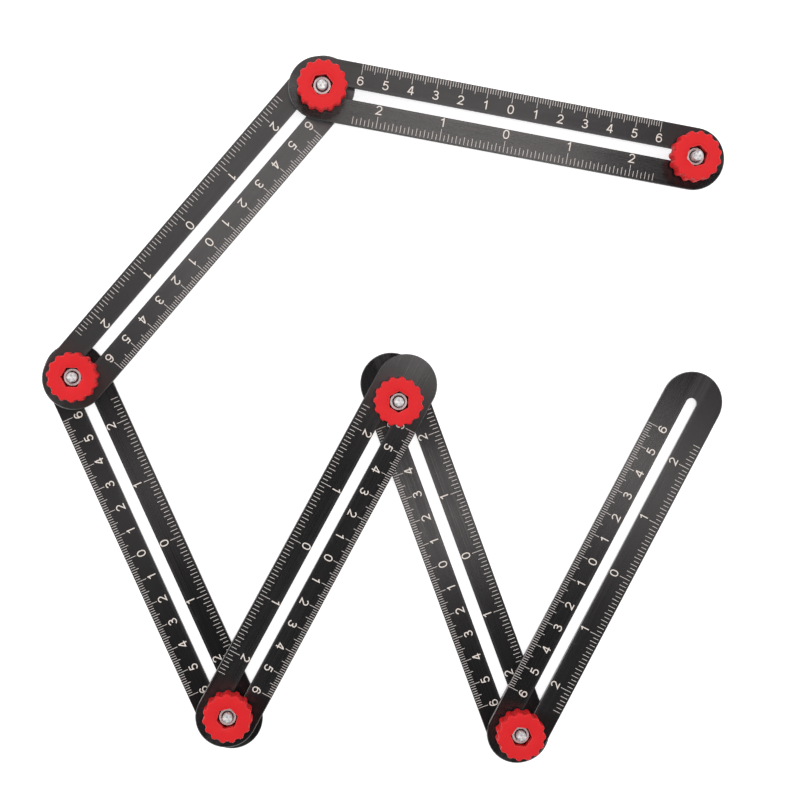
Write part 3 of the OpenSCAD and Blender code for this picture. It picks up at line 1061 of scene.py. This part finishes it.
# %% [markdown]
# ## Studio: soft light
# Black brushed arms show where the lamps hang. In the picture all pale bands on them
# point at one spot, so a narrow strip hangs 1 m above the floor close to the camera's
# axis. A soft panel towards the picture's top edge and two weak fills at the sides
# round off the knobs. All are a touch warm, as the bands on the real arms are.

# %% Hang the lamps
# The picture is turned against the frame nearly as the camera is
PICTURE_TURN = radians(27.7)
PICTURE_UP = Vector((-sin(PICTURE_TURN), cos(PICTURE_TURN), 0))
PICTURE_RIGHT = Vector((cos(PICTURE_TURN), sin(PICTURE_TURN), 0))
LAMPS = {
    # name: (towards the picture's right, towards its top, height, width, depth, watts)
    "overhead_strip": (0.08, 0.04, 1.00, 0.27, 0.10, 0.72),
    "top_panel": (0.00, 0.62, 1.00, 0.80, 0.40, 3.0),
    "left_fill": (-0.85, 0.15, 0.30, 0.30, 0.50, 2.0),
    "right_fill": (1.05, 0.10, 0.50, 0.6, 0.6, 1.5),
}
LAMP_COLOUR = (1.0, 0.93, 0.925)

for name, (right, up, height, width, depth, watts) in LAMPS.items():
    data = bpy.data.lights.new(name, "AREA")
    data.shape, data.size, data.size_y, data.energy = "RECTANGLE", width, depth, watts
    data.color = LAMP_COLOUR
    lamp = bpy.data.objects.new(name, data)
    lamp.location = PICTURE_RIGHT * right + PICTURE_UP * up + Vector((0, 0, height))
    if name.endswith("fill"):
        lamp.rotation_euler = (-lamp.location).to_track_quat("-Z", "Y").to_euler()
    else:
        lamp.rotation_euler = (0, 0, PICTURE_TURN)
    bpy.context.scene.collection.objects.link(lamp)
    print(name, "stands", round(lamp.location.length, 2), "m away")

# %% [markdown]
# The rest is ambient light from above, as under a light tent. What the arms mirror
# besides the lamps should be dark overhead and pale only near the horizon. The world
# therefore has two faces: one that lights, and one that is mirrored. The camera itself
# sees plain white.

# %% Paint the world
# Strengths at the horizon and near the zenith, and the heights where they are reached
LIGHT_LOW, LIGHT_HIGH, LIGHT_FULL_AT = 0.08, 0.98, 0.9
MIRRORED_PALE, MIRRORED_DARK = 0.70, 0.02
PALE_BELOW, DARK_ABOVE = 0.10, 0.40

world = bpy.data.worlds.new("studio")
bpy.context.scene.world = world
world.use_nodes = True
tree = world.node_tree
direction = put(tree, "TexCoord").outputs["Generated"]
height = put(tree, "SeparateXYZ", {"Vector": direction}).outputs["Z"]
from_above = spread(tree, height, LIGHT_LOW, LIGHT_HIGH, start=0.0, end=LIGHT_FULL_AT)
ambient = tree.nodes["Background"]
feed(tree, ambient, {"Color": WHITE, "Strength": from_above})
dome = spread(tree, height, MIRRORED_PALE, MIRRORED_DARK, start=PALE_BELOW, end=DARK_ABOVE,
              interpolation_type="SMOOTHSTEP")
looked_at = put(tree, "LightPath").outputs["Is Camera Ray"]
brightness = number(tree, "MAXIMUM", dome, looked_at)
backdrop = put(tree, "Background", {"Color": WHITE, "Strength": brightness})
choice = put(tree, "MixShader", {0: seen_directly(tree), 1: ambient.outputs["Background"],
                                 2: backdrop.outputs["Background"]})
feed(tree, tree.nodes["World Output"], {"Surface": choice.outputs["Shader"]})
print("the world lights with", LIGHT_LOW, "at the horizon and", LIGHT_HIGH, "overhead")
